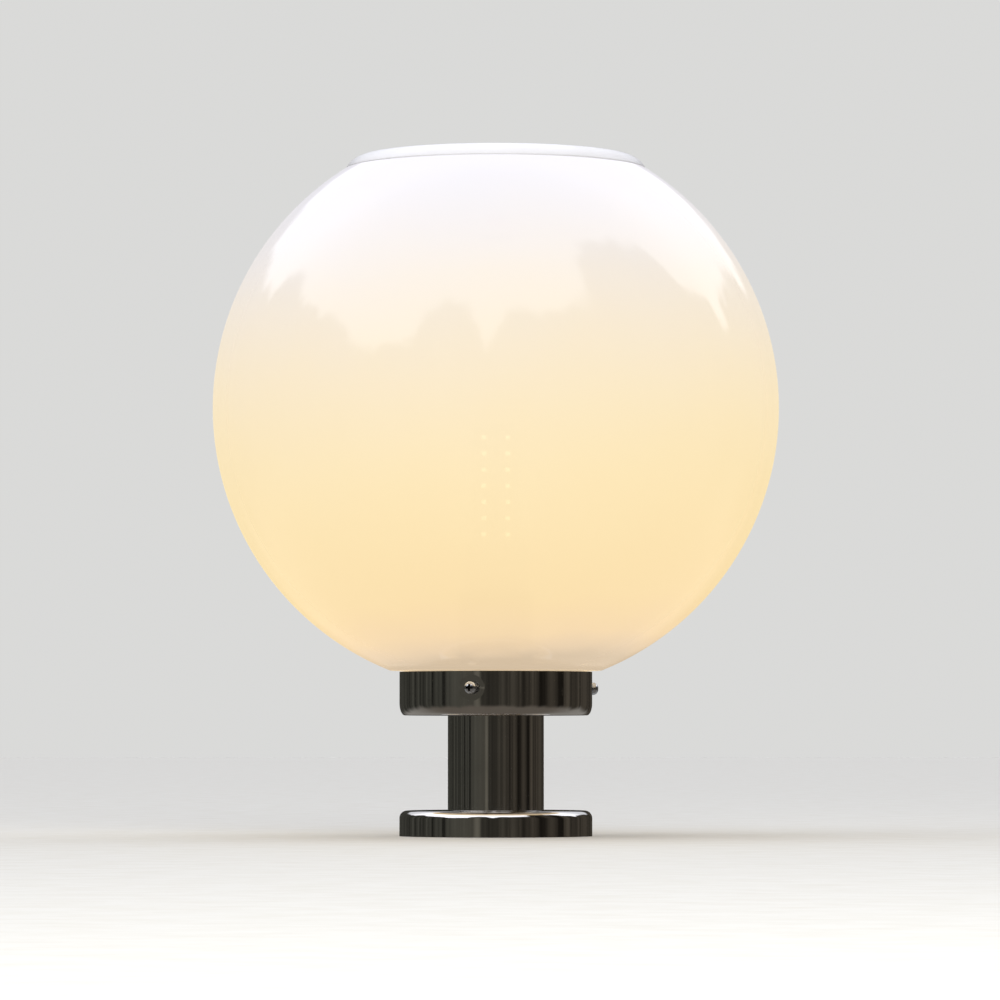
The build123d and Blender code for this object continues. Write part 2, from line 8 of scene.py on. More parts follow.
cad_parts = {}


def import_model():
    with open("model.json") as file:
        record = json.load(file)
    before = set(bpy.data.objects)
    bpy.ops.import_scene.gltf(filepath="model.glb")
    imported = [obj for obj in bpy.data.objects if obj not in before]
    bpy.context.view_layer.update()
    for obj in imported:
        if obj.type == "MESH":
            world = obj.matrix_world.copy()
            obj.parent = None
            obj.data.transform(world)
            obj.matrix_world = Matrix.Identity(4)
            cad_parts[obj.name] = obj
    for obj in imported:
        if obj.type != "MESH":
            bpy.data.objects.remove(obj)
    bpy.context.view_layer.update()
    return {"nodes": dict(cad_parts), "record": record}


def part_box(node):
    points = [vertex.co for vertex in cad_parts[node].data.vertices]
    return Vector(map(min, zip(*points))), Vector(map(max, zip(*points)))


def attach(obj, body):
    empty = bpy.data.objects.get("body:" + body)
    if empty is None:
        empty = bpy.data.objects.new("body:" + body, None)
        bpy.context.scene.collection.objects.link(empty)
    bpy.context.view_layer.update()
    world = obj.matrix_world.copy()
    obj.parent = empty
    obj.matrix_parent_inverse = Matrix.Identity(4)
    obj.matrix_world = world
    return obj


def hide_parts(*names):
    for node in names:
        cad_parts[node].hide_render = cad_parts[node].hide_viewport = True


# Solar pillar lamp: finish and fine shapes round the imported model.
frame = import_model()

MM = 0.001

# How finely round shapes are cut
SEGMENTS = 256
SMALL_SEGMENTS = 48
PAD_SEGMENTS = 64
HOLE_SEGMENTS = 32
ARC_STEPS = 12
SHOULDER_STEPS = 10
GLOBE_STEPS = 120
GLOBE_INSIDE_STEPS = 100
CROWN_STEPS = 40
THREAD_ROWS = 10
SMOOTH_ANGLE = math.radians(32)
# Steps at the end of the lid's crown that its rounded edge takes up
CROWN_TRIM = 3
# How far from a rounding a straight run is held by a point, and the least that is worth a point
HOLD = 0.25 * MM
SHORTEST_HOLD = 0.02 * MM
# What counts as on the axis and as one place, and the decimals of a place that sort the solids
ON_AXIS = 1e-7
SAME_PLACE = 1e-6
SORT_DIGITS = 5

# Sizes that the frame's boxes don't give, in metres
cup_wall = 1.2 * MM
cup_corner = 4.0 * MM
gallery_bend_width = 2.8 * MM
gallery_bend_height = 6.4 * MM
cup_rim_rounding = 0.15 * MM
rod_hole_radius = 5.05 * MM
column_wall = 1.2 * MM
column_end_rounding = 0.3 * MM
clamp_pad_radius = 6.8 * MM
clamp_hole_radius = 2.25 * MM
clamp_hole_depth = 4 * cup_wall
clamp_shank_radius = 2.0 * MM
clamp_head_radius = 3.3 * MM
clamp_head_height = 3.6 * MM
clamp_standoff = 2.0 * MM
clamp_tip = 46.3 * MM
clamp_thread_pitch = 0.7 * MM
clamp_thread_depth = 0.28 * MM
clamp_shank_overlap = 0.3 * MM
globe_wall = 3.0 * MM
globe_inside_depth = 0.6 * globe_wall
neck_radius = 46.0 * MM
neck_edge = 0.4 * MM
shoulder_radius = 56.0 * MM
shoulder_gap = 0.6 * MM
shoulder_rounding = 2.0 * MM
shoulder_hold = 0.3 * MM
lit_above_shoulder = 4.0 * MM
seam_matt = 0.6 * MM
seam_clear = 3.0 * MM
bezel_height = 6.5 * MM
bezel_crown_width = 11.0 * MM
bezel_recess_radius = 71.2 * MM
bezel_lip_drop = 0.6 * MM
bezel_lip_width = 0.18 * MM
bezel_lip_rounding = 0.12 * MM
bezel_edge_rounding = 0.4 * MM
skirt_wall = 2.4 * MM
skirt_radius = 73.96 * MM
skirt_inner_rounding = 0.6 * MM
skirt_outer_rounding = 0.8 * MM
skirt_root_rounding = 0.3 * MM
panel_lead_radius = 1.8 * MM
tub_screw_head_height = 2.0 * MM
tub_screw_radius = 1.45 * MM
diode_height = 0.8 * MM
diode_length = 3.5 * MM
diode_width = 2.8 * MM
diode_frame = 0.4 * MM
diode_window_slope = 0.15 * MM
diode_window_depth = 0.15 * MM
ribbon_width = 1.3 * MM
ribbon_thickness = 0.12 * MM
ribbon_lift = 0.02 * MM
ribbon_end_gap = 2.0 * MM
cell_finger_spacing = 0.9 * MM
cell_finger_width = 0.09 * MM

# Screw heads with a cross recess, as shares of the head's height or radius, and of the recess's top
HEAD_EDGE = 0.7
RECESS_DEPTH = 0.6
RECESS_REACH = 0.95
RECESS_BAR = 0.26
RECESS_FLOOR_LENGTH = 0.3
RECESS_FLOOR_WIDTH = 0.5


# Outlines and meshes


def arc(centre, radius, start, end, steps=ARC_STEPS):
    """Points (radius, height) along an arc, with its angles in radians from the radial direction."""
    return [
        (centre[0] + radius * math.cos(a), centre[1] + radius * math.sin(a))
        for a in (start + (end - start) * k / steps for k in range(steps + 1))
    ]


def rounded(corners):
    """A closed outline through corners (radius, height, rounding), its straight runs held by points."""
    count = len(corners)
    stretches = []
    for k in range(count):
        here = Vector(corners[k][:2])
        before = (Vector(corners[k - 1][:2]) - here).normalized()
        after = (Vector(corners[(k + 1) % count][:2]) - here).normalized()
        rounding = corners[k][2]
        if rounding == 0:
            stretches.append([here])
            continue
        half = before.angle(after) / 2
        centre = here + (before + after).normalized() * rounding / math.sin(half)
        first = here + before * rounding / math.tan(half) - centre
        turn = first.angle_signed(here + after * rounding / math.tan(half) - centre)
        spins = [Matrix.Rotation(-turn * step / ARC_STEPS, 2) for step in range(ARC_STEPS + 1)]
        stretches.append([centre + spin @ first for spin in spins])
    outline = []
    for k in range(count):
        outline += stretches[k]
        start, end = stretches[k][-1], stretches[(k + 1) % count][0]
        hold = min(HOLD, (end - start).length / 4)
        if hold > SHORTEST_HOLD and (corners[k][2] or corners[(k + 1) % count][2]):
            way = (end - start).normalized()
            outline += [start + way * hold, end - way * hold]
    return [(p[0], p[1]) for p in outline]


def lathe(outline, closed=True, segments=SEGMENTS):
    """A mesh turned about Z from (radius, height) points. An open outline starts and ends on the axis."""
    mesh = bmesh.new()
    turns = [2 * math.pi * k / segments for k in range(segments)]
    rings = []
    for radius, height in outline:
        places = [(radius * math.cos(a), radius * math.sin(a), height) for a in turns]
        if radius < ON_AXIS:
            places = [(0, 0, height)]
        rings.append([mesh.verts.new(place) for place in places])
    follows = rings[1:] + rings[:1] if closed else rings[1:]
    for low, high in zip(rings, follows):
        for k in range(segments):
            after = (k + 1) % segments
            below = [low[k % len(low)], low[after % len(low)]]
            above = [high[after % len(high)], high[k % len(high)]]
            mesh.faces.new(list(dict.fromkeys(below + above)))
    bmesh.ops.recalc_face_normals(mesh, faces=mesh.faces)
    return mesh


def threaded(radius, depth, pitch, bottom, top):
    """A closed rod along Z with a helical groove."""
    mesh = bmesh.new()
    rows = max(2, math.ceil((top - bottom) / pitch * THREAD_ROWS))
    rings = []
    for row in range(rows + 1):
        height = bottom + (top - bottom) * row / rows
        ring = []
        for k in range(SMALL_SEGMENTS):
            turn = k / SMALL_SEGMENTS
            wave = 0.5 + 0.5 * math.cos(2 * math.pi * (height / pitch - turn))
            reach = radius - depth * wave
            place = (reach * math.cos(2 * math.pi * turn), reach * math.sin(2 * math.pi * turn), height)
            ring.append(mesh.verts.new(place))
        rings.append(ring)
    for low, high in zip(rings, rings[1:]):
        for k in range(SMALL_SEGMENTS):
            after = (k + 1) % SMALL_SEGMENTS
            mesh.faces.new((low[k], low[after], high[after], high[k]))
    mesh.faces.new(list(reversed(rings[0])))
    mesh.faces.new(rings[-1])
    return mesh


def brick(low, high):
    """A box between two corners."""
    mesh = bmesh.new()
    low, high = Vector(low), Vector(high)
    bmesh.ops.create_cube(mesh, size=1)
    size = high - low
    for vertex in mesh.verts:
        vertex.co = Vector(c * s for c, s in zip(vertex.co, size)) + (low + high) / 2
    return mesh


def placed(meshes):
    """One mesh from several (mesh, matrix) pairs. The parts are used up."""
    whole = bmesh.new()
    for part, matrix in meshes:
        scratch = bpy.data.meshes.new("scratch")
        part.to_mesh(scratch)
        scratch.transform(matrix)
        whole.from_mesh(scratch)
        bpy.data.meshes.remove(scratch)
    return whole


def carve(mesh, cutters):
    """A mesh with cutters cut out of it, and without the slivers that the cuts leave."""
    body = bpy.data.objects.new("carved", bpy.data.meshes.new("carved"))
    mesh.to_mesh(body.data)
    bpy.context.scene.collection.objects.link(body)
    made = [body]
    for cutter in cutters:
        tool = bpy.data.objects.new("cutter", bpy.data.meshes.new("cutter"))
        cutter.to_mesh(tool.data)
        bpy.context.scene.collection.objects.link(tool)
        made.append(tool)
        change = body.modifiers.new("cut", "BOOLEAN")
        change.operation = "DIFFERENCE"
        change.solver = "EXACT"
        change.object = tool
    bpy.context.view_layer.update()
    evaluated = body.evaluated_get(bpy.context.evaluated_depsgraph_get())
    result = bmesh.new()
    result.from_mesh(evaluated.to_mesh())
    evaluated.to_mesh_clear()
    bmesh.ops.remove_doubles(result, verts=result.verts, dist=SAME_PLACE)
    for thing in made:
        data = thing.data
        bpy.data.objects.remove(thing)
        bpy.data.meshes.remove(data)
    return result


def piece(name, mesh, body, materials, stands_for=()):
    """A new piece of the lamp that rides on a body and may stand for CAD nodes."""
    data = bpy.data.meshes.new(name)
    mesh.to_mesh(data)
    mesh.free()
    data.shade_smooth()
    data.set_sharp_from_angle(angle=SMOOTH_ANGLE)
    for material in materials:
        data.materials.append(material)
    made = bpy.data.objects.new(name, data)
    bpy.context.scene.collection.objects.link(made)
    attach(made, body)
    if stands_for:
        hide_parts(*stands_for)


def islands(name):
    """The separate solids of a CAD node, each as its lowest and highest corner."""
    mesh = bmesh.new()
    mesh.from_mesh(frame["nodes"][name].data)
    bmesh.ops.remove_doubles(mesh, verts=mesh.verts, dist=SAME_PLACE)
    left = set(mesh.verts)
    found = []
    while left:
        front = [left.pop()]
        seen = []
        while front:
            vertex = front.pop()
            seen.append(vertex.co.copy())
            for edge in vertex.link_edges:
                other = edge.other_vert(vertex)
                if other in left:
                    left.remove(other)
                    front.append(other)
        low = Vector(min(c[k] for c in seen) for k in range(3))
        high = Vector(max(c[k] for c in seen) for k in range(3))
        found.append((low, high))
    mesh.free()
    return sorted(found, key=lambda box: tuple(round(c, SORT_DIGITS) for c in box[0] + box[1]))


def width_radius(low, high):
    """The radius of a turned piece, from the corners of its box."""
    return max(high[0], -low[0])


def outwards(angle, height):
    """Turns local +Z to point away from the lamp's axis at an angle, from a point on the axis."""
    return (
        Matrix.Translation((0, 0, height))
        @ Matrix.Rotation(angle, 4, "Z")
        @ Matrix.Rotation(math.pi / 2, 4, "Y")
    )


# Materials

# How much of its colour metal keeps where it is dull, and the tint of soil on plastic
DULLED = 0.78
SOIL_TINT = (1.0, 0.985, 0.955)
# The globe's light, outside and inside: share of its height above the shoulder, and colour
GLOW = (
    (0.00, (0.585, 0.455, 0.31)),
    (0.02, (0.725, 0.555, 0.37)),
    (0.05, (0.85, 0.63, 0.37)),
    (0.12, (0.885, 0.672, 0.35)),
    (0.34, (0.897, 0.722, 0.405)),
    (0.54, (0.872, 0.73, 0.488)),
    # From about here up the colours grow pale and also paint the sky's light and its reflection on the
    # globe's top
    (0.74, (0.795, 0.725, 0.645)),
    (0.88, (0.745, 0.725, 0.75)),
    (1.00, (0.71, 0.70, 0.755)),
)
INSIDE_GLOW = (
    (0.00, (0.70, 0.52, 0.30)),
    (0.35, (0.85, 0.66, 0.38)),
    (0.75, (0.70, 0.58, 0.40)),
    (1.00, (0.52, 0.46, 0.36)),
)
OPAL_LIT = (0.10, 0.095, 0.09)
OPAL_UNLIT = (0.60, 0.58, 0.54)
NECK_GLOW = (0.20, 0.17, 0.135)
# How much the panel's cover reflects when it is seen straight on
COVER_GLOSS = 0.034
LID_WHITE = (0.765, 0.765, 0.775)
# Painted shade: the colour that the lid's white darkens to at its seam
LID_PAINTED_SHADE = (0.725, 0.715, 0.71)


def node(tree, kind, inputs=None, **settings):
    """A shader node with its settings, and its inputs set or linked."""
    made = tree.nodes.new(kind)
    for name, value in settings.items():
        setattr(made, name, value)
    for name, value in (inputs or {}).items():
        if isinstance(value, bpy.types.NodeSocket):
            tree.links.new(value, made.inputs[name])
        else:
            made.inputs[name].default_value = value
    return made


def named_input(shader, key):
    """A shader's input by its name in small letters."""
    return shader.inputs[key.replace("_", " ").title().replace("Ior", "IOR")]


def surface(name, colour, roughness, **values):
    """A material with one Principled shader. Returns the material, its node tree and the shader."""
    material = bpy.data.materials.new(name)
    material.use_nodes = True
    tree = material.node_tree
    shader = tree.nodes["Principled BSDF"]
    shader.inputs["Base Color"].default_value = (*colour, 1)
    shader.inputs["Roughness"].default_value = roughness
    for key, value in values.items():
        named_input(shader, key).default_value = value
    return material, tree, shader


def feed(tree, shader, **values):
    """Links values and colours to a shader's inputs."""
    for key, value in values.items():
        tree.links.new(value, named_input(shader, key))


def coordinates(tree, scale=(1, 1, 1)):
    """Places on the piece as it stands in the lamp's frame, stretched by a scale."""
    place = node(tree, "ShaderNodeTexCoord").outputs["Object"]
    if scale == (1, 1, 1):
        return place
    return node(tree, "ShaderNodeMapping", {"Vector": place, "Scale": scale}).outputs["Vector"]


def along(tree, axis):
    """One coordinate of the places on a piece."""
    return node(tree, "ShaderNodeSeparateXYZ", {"Vector": coordinates(tree)}).outputs[axis]


def noise(tree, vector, scale, detail=4.0, roughness=0.55):
    """Cloudy noise, mostly between 0.3 and 0.7."""
    made = node(
        tree,
        "ShaderNodeTexNoise",
        {"Vector": vector, "Scale": scale, "Detail": detail, "Roughness": roughness},
    )
    return made.outputs["Fac"]


def remap(tree, value, low, high, to_low=0.0, to_high=1.0, smooth=False):
    """A value moved from one range to another and kept inside it."""
    made = node(
        tree,
        "ShaderNodeMapRange",
        {"Value": value, "From Min": low, "From Max": high, "To Min": to_low, "To Max": to_high},
    )
    made.interpolation_type = "SMOOTHSTEP" if smooth else "LINEAR"
    return made.outputs["Result"]


def blend_colours(tree, share, first, second):
    """A colour between two, each a colour or a socket."""
    made = node(tree, "ShaderNodeMix", data_type="RGBA")
    for socket, value in zip((made.inputs[0], made.inputs[6], made.inputs[7]), (share, first, second)):
        if isinstance(value, bpy.types.NodeSocket):
            tree.links.new(value, socket)
        else:
            socket.default_value = (*value, 1) if isinstance(value, tuple) else value
    return made.outputs[2]


def sums(tree, operation, first, second):
    """One step of arithmetic on two values, each a number or a socket."""
    made = node(tree, "ShaderNodeMath", operation=operation)
    for socket, value in zip(made.inputs, (first, second)):
        if isinstance(value, bpy.types.NodeSocket):
            tree.links.new(value, socket)
        else:
            socket.default_value = value
    return made.outputs[0]


def distance(tree, value, mark):
    """How far a value lies from a mark."""
    return sums(tree, "ABSOLUTE", sums(tree, "SUBTRACT", value, mark), 0.0)


def grain(tree, shader, height, depth, strength):
    """Gives a shader the bump of a height."""
    made = node(tree, "ShaderNodeBump", {"Height": height, "Distance": depth, "Strength": strength})
    tree.links.new(made.outputs["Normal"], shader.inputs["Normal"])


def polished_steel():
    """Stainless polished to a mirror, with faint turning lines, haze and dried drops."""
    material, tree, shader = surface("polished_steel", (0.66, 0.645, 0.62), 0.07, metallic=1.0)
    place = coordinates(tree)
    turning = noise(tree, coordinates(tree, (6, 6, 2600)), 1.0, 3.0)
    haze = noise(tree, place, 55.0, 5.0, 0.6)
    drops = noise(tree, place, 420.0, 2.0)
    rough = remap(tree, haze, 0.35, 0.75, 0.035, 0.10)
    rough = sums(tree, "ADD", rough, remap(tree, drops, 0.66, 0.74, 0.0, 0.09))
    rough = sums(tree, "ADD", rough, remap(tree, turning, 0.3, 0.7, 0.0, 0.03))
    tint = blend_colours(tree, remap(tree, haze, 0.3, 0.8), (0.69, 0.675, 0.65), (0.60, 0.585, 0.56))
    feed(tree, shader, roughness=rough, base_color=tint)
    grain(tree, shader, turning, 0.002 * MM, 0.35)
    return material


def brushed_metal(name, colour, roughness, spread, grain_scale=900.0, grain_depth=0.01):
    """Plated, cast or machined metal with a grain of its own."""
    material, tree, shader = surface(name, colour, roughness, metallic=1.0)
    place = coordinates(tree)
    cloud = noise(tree, place, 90.0, 6.0, 0.65)
    fine = noise(tree, place, grain_scale, 3.0)
    rough = remap(tree, cloud, 0.3, 0.7, roughness - spread, roughness + spread)
    dull = tuple(c * DULLED for c in colour)
    tint = blend_colours(tree, remap(tree, cloud, 0.35, 0.75), colour, dull)
    feed(tree, shader, roughness=rough, base_color=tint)
    grain(tree, shader, fine, grain_depth * MM, 0.5)
    return material


def moulded(name, colour, roughness, grain_scale=1400.0, grain_depth=0.015, soil_and_shade=0.06, **values):
    """Moulded plastic, rubber or ceramic: a fine grain, uneven gloss and a trace of soiling."""
    material, tree, shader = surface(name, colour, roughness, **values)
    place = coordinates(tree)
    fine = noise(tree, place, grain_scale, 3.0)
    cloud = noise(tree, place, 40.0, 5.0, 0.6)
    rough = remap(tree, cloud, 0.3, 0.7, roughness * 0.85, roughness * 1.2)
    soiled = tuple(c * (1 - soil_and_shade) * w for c, w in zip(colour, SOIL_TINT))
    tint = blend_colours(tree, remap(tree, cloud, 0.42, 0.8), colour, soiled)
    feed(tree, shader, roughness=rough, base_color=tint)
    grain(tree, shader, fine, grain_depth * MM, 0.6)
    return material


neck_low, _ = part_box("globe_neck")
globe_low, globe_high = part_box("globe")
globe_radius = width_radius(globe_low, globe_high)
shoulder_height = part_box("gallery_cup")[1][2] + shoulder_gap
globe_centre = shoulder_height + math.sqrt(globe_radius**2 - shoulder_radius**2)


def ramp(tree, value, stops, interpolation):
    """A colour that follows a value through (position, colour) stops."""
    made = node(tree, "ShaderNodeValToRGB", {"Fac": value})
    made.color_ramp.interpolation = interpolation
    while len(made.color_ramp.elements) < len(stops):
        made.color_ramp.elements.new(0.5)
    for element, (position, colour) in zip(made.color_ramp.elements, stops):
        element.position = position
        element.color = (*colour, 1)
    return made.outputs["Color"]


def glow_by_height(tree, stops):
    """Colours up the globe, from (share of the globe's height, colour) stops."""
    drift = noise(tree, coordinates(tree), 9.0, 3.0, 0.5)
    share = remap(tree, along(tree, "Z"), shoulder_height, globe_high[2])
    share = sums(tree, "ADD", share, remap(tree, drift, 0.3, 0.7, -0.02, 0.02))
    share = sums(tree, "ADD", share, remap(tree, along(tree, "X"), -0.12, 0.12, 0.02, -0.04))
    return ramp(tree, share, stops, "B_SPLINE")


def opal_acrylic():
    """The lit opal shell from outside: glossy, warm low down, paler above where painted sky light and
    reflection are added, and unlit at the neck's end.
    """
    material, tree, shader = surface(
        "opal_acrylic", OPAL_LIT, 0.10, ior=1.49, alpha=0.975, emission_strength=1.0
    )
    height = along(tree, "Z")
    lit = remap(tree, height, neck_low[2], shoulder_height + lit_above_shoulder, smooth=True)
    glow = blend_colours(tree, lit, NECK_GLOW, glow_by_height(tree, GLOW))
    tint = blend_colours(tree, lit, OPAL_UNLIT, OPAL_LIT)
    smear = noise(tree, coordinates(tree, (1, 1, 0.4)), 60.0, 5.0, 0.6)
    matt = remap(tree, distance(tree, height, shoulder_height), seam_matt, seam_clear, 0.7, 0.0, True)
    rough = sums(tree, "MAXIMUM", matt, remap(tree, smear, 0.35, 0.75, 0.06, 0.16))
    feed(tree, shader, emission_color=glow, base_color=tint, roughness=rough)
    ripple = noise(tree, coordinates(tree), 26.0, 2.0, 0.4)
    grain(tree, shader, ripple, 0.5 * MM, 0.25)
    material.cycles.emission_sampling = "NONE"
    return material


def opal_inside():
    """The shell's inner face, which lets the diodes' points of light show faintly."""
    material, tree, shader = surface(
        "opal_inside", (0.80, 0.76, 0.68), 0.35, alpha=0.40, emission_strength=0.8
    )
    smear = noise(tree, coordinates(tree), 50.0, 4.0)
    rough = remap(tree, smear, 0.3, 0.7, 0.28, 0.45)
    feed(tree, shader, emission_color=glow_by_height(tree, INSIDE_GLOW), roughness=rough)
    material.cycles.emission_sampling = "NONE"
    return material


def solar_cell():
    """Dark blue silicon with fine silver fingers across each strip."""
    material, tree, shader = surface("solar_cell", (0.010, 0.018, 0.055), 0.28, specular_ior_level=0.6)
    finger = sums(tree, "PINGPONG", along(tree, "Y"), cell_finger_spacing)
    silver = remap(tree, finger, 0.0, cell_finger_width, 1.0, 0.0)
    cloud = noise(tree, coordinates(tree, (1, 0.15, 1)), 140.0, 3.0)
    silicon = blend_colours(tree, remap(tree, cloud, 0.3, 0.7), (0.006, 0.012, 0.040), (0.016, 0.030, 0.085))
    tint = blend_colours(tree, silver, silicon, (0.42, 0.44, 0.48))
    feed(tree, shader, base_color=tint, roughness=remap(tree, cloud, 0.3, 0.7, 0.22, 0.34))
    return material


def clear_cover():
    """The panel's clear front sheet: what is under it shows, with a sharp reflection on top."""
    material = bpy.data.materials.new("clear_cover")
    material.use_nodes = True
    tree = material.node_tree
    tree.nodes.remove(tree.nodes["Principled BSDF"])
    scuffs = noise(tree, coordinates(tree), 160.0, 5.0, 0.65)
    rough = remap(tree, scuffs, 0.45, 0.8, 0.02, 0.12)
    shine = node(tree, "ShaderNodeBsdfGlossy", {"Roughness": rough, "Color": (1, 1, 1, 1)})
    clear = node(tree, "ShaderNodeBsdfTransparent", {"Color": (0.96, 0.97, 0.97, 1)})
    slant = node(tree, "ShaderNodeLayerWeight", {"Blend": 0.5}).outputs["Facing"]
    share = remap(tree, sums(tree, "POWER", slant, 5.0), 0.0, 1.0, COVER_GLOSS, 1.0)
    mix = node(tree, "ShaderNodeMixShader")
    tree.links.new(share, mix.inputs[0])
    tree.links.new(clear.outputs["BSDF"], mix.inputs[1])
    tree.links.new(shine.outputs["BSDF"], mix.inputs[2])
    tree.links.new(mix.outputs["Shader"], tree.nodes["Material Output"].inputs["Surface"])
    return material


def lit_diode():
    """Warm phosphor, lit."""
    material, tree, shader = surface("lit_diode", (0.85, 0.62, 0.16), 0.4, emission_strength=6.3)
    cloud = noise(tree, coordinates(tree), 1500.0, 2.0)
    warm = blend_colours(tree, remap(tree, cloud, 0.3, 0.7), (1.0, 0.80, 0.46), (1.0, 0.86, 0.58))
    feed(tree, shader, emission_color=warm)
    material.cycles.emission_sampling = "NONE"
    return material


def circuit_board(name, mask, track, pitch):
    """A board's solder mask with the lines of its tracks showing under it."""
    material, tree, shader = surface(name, mask, 0.42)
    cells = node(
        tree,
        "ShaderNodeTexVoronoi",
        {"Vector": coordinates(tree), "Scale": 1 / pitch, "Randomness": 0.25},
        feature="DISTANCE_TO_EDGE",
    )
    lines = remap(tree, cells.outputs["Distance"], 0.03, 0.07, 1.0, 0.0)
    feed(tree, shader, base_color=blend_colours(tree, lines, mask, track))
    grain(tree, shader, lines, 0.02 * MM, 0.6)
    return material


MATERIALS = {
    "polished_steel": polished_steel(),
    "plated_steel": brushed_metal("plated_steel", (0.74, 0.72, 0.66), 0.33, 0.08),
    "screw_steel": brushed_metal("screw_steel", (0.80, 0.85, 0.93), 0.24, 0.06),
    "contact_metal": brushed_metal("contact_metal", (0.80, 0.79, 0.77), 0.26, 0.06),
    "brass_contact": brushed_metal("brass_contact", (0.80, 0.58, 0.26), 0.28, 0.07),
    "aluminium_core": brushed_metal("aluminium_core", (0.78, 0.79, 0.80), 0.38, 0.08),
    "opal_acrylic": opal_acrylic(),
    "white_plastic": moulded("white_plastic", (0.77, 0.77, 0.78), 0.34),
    "black_plastic": moulded("black_plastic", (0.018, 0.018, 0.019), 0.42, soil_and_shade=-0.5),
    "black_rubber": moulded("black_rubber", (0.020, 0.020, 0.020), 0.75, 700.0, 0.03, soil_and_shade=-0.6),
    "grey_rubber": moulded("grey_rubber", (0.70, 0.70, 0.71), 0.60, 700.0, 0.03),
    "white_ceramic": moulded("white_ceramic", (0.84, 0.82, 0.78), 0.25, 500.0, 0.02),
    "component_black": moulded("component_black", (0.025, 0.025, 0.026), 0.5, 2500.0, 0.02, soil_and_shade=-0.5),
    "panel_backing": moulded("panel_backing", (0.80, 0.80, 0.79), 0.5),
    "battery_wrap": moulded("battery_wrap", (0.03, 0.16, 0.42), 0.30, 300.0, 0.01),
    "red_button": moulded("red_button", (0.55, 0.03, 0.025), 0.36),
    "white_board": circuit_board("white_board", (0.84, 0.84, 0.82), (0.72, 0.70, 0.64), 6 * MM),
    "green_board": circuit_board("green_board", (0.02, 0.16, 0.05), (0.05, 0.30, 0.10), 3 * MM),
    "solar_cell": solar_cell(),
    "clear_cover": clear_cover(),
    "lit_diode": lit_diode(),
}

for part in frame["record"]["subparts"]:
    data = frame["nodes"][part["node"]].data
    data.materials.clear()
    data.materials.append(MATERIALS[part["material_slot"]])
# The lid's gasket takes up light from the globe that it sits on
frame["nodes"]["head_gasket"].data.materials[0] = moulded(
    "lit_silicone",
    (0.80, 0.80, 0.81),
    0.55,
    700.0,
    0.03,
    emission_color=(1.0, 0.97, 0.93, 1),
    emission_strength=0.22,
)


# Steelwork


def cup_outline(outer, floor_out, floor_in, rim, bend):
    """The section of a pressed cup: its floor lies between two heights, bends up and ends at a rim."""
    inner = outer - cup_wall
    return rounded([
        (rod_hole_radius, floor_out, 0),
        *bend,
        (outer, rim, cup_rim_rounding),
        (inner, rim, cup_rim_rounding),
        (inner, floor_in, cup_corner - cup_wall),
        (rod_hole_radius, floor_in, 0),
    ])


base_low, base_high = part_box("base_cup")
cup_radius = width_radius(base_low, base_high)
piece(
    "base_cup",
    lathe(cup_outline(
        cup_radius,
        base_high[2],
        base_high[2] - cup_wall,
        base_low[2],
        [(cup_radius, base_high[2], cup_corner)],
    )),
    "base",
    [MATERIALS["polished_steel"]],
    ["base_cup"],
)

# Each clamp screw's number, angle round the lamp and height
clamps = []
for number in (1, 2, 3):
    low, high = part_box(f"clamp_screw_{number}")
    middle = (low + high) / 2
    clamps.append((number, math.atan2(middle[1], middle[0]), middle[2]))


def plug(radius, bottom, top, segments):
    """A plain round bar along Z."""
    return lathe([(0, bottom), (radius, bottom), (radius, top), (0, top)], False, segments)


def gallery_bend(bottom):
    """The upper cup's lower corner, a quarter of a tall ellipse, with points that hold what it joins."""
    start = cup_radius - gallery_bend_width
    end = bottom + gallery_bend_height
    turns = [math.pi / 2 * (1 - k / ARC_STEPS) for k in range(ARC_STEPS + 1)]
    bend = [
        (start + gallery_bend_width * math.cos(a), end - gallery_bend_height * math.sin(a), 0)
        for a in turns
    ]
    return [(start - HOLD, bottom, 0), *bend, (cup_radius, end + HOLD, 0)]


def gallery():
    """The upper cup, with a flat pad and a hole for each clamp screw."""
    low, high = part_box("gallery_cup")
    shell = lathe(cup_outline(cup_radius, low[2], low[2] + cup_wall, high[2], gallery_bend(low[2])))
    pad = math.sqrt(cup_radius**2 - clamp_pad_radius**2)
    cutters = []
    for _, angle, height in clamps:
        turned = outwards(angle, height)
        face = plug(clamp_pad_radius, pad, pad + cup_wall, PAD_SEGMENTS)
        hole = plug(clamp_hole_radius, pad - clamp_hole_depth, pad + cup_wall, HOLE_SEGMENTS)
        cutters += [placed([(face, turned)]), placed([(hole, turned)])]
    return carve(shell, cutters)


piece(
    "gallery_cup",
    gallery(),
    "base",
    [MATERIALS["polished_steel"]],
    ["gallery_cup"],
)

column_low, column_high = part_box("column_tube")
column_radius = width_radius(column_low, column_high)
piece(
    "column_tube",
    lathe(rounded([
        (column_radius, column_low[2], column_end_rounding),
        (column_radius, column_high[2], column_end_rounding),
        (column_radius - column_wall, column_high[2], column_end_rounding),
        (column_radius - column_wall, column_low[2], column_end_rounding),
    ])),
    "base",
    [MATERIALS["polished_steel"]],
    ["column_tube"],
)


# Clamp screws


def cross_recess(radius, depth, floor):
    """Cutters for a cross recess, two bars that taper down to a floor."""
    bars = []
    for turn in (0, math.pi / 2):
        half = radius * RECESS_BAR
        bar = brick((-radius, -half, floor), (radius, half, floor + 2 * depth))
        # The cut walls take the piece's second material, the recess's painted shade
        for face in bar.faces:
            face.material_index = 1
        for vertex in bar.verts:
            if vertex.co[2] < floor + depth:
                vertex.co[0] *= RECESS_FLOOR_LENGTH
                vertex.co[1] *= RECESS_FLOOR_WIDTH
        bars.append(placed([(bar, Matrix.Rotation(turn, 4, "Z"))]))
    return bars


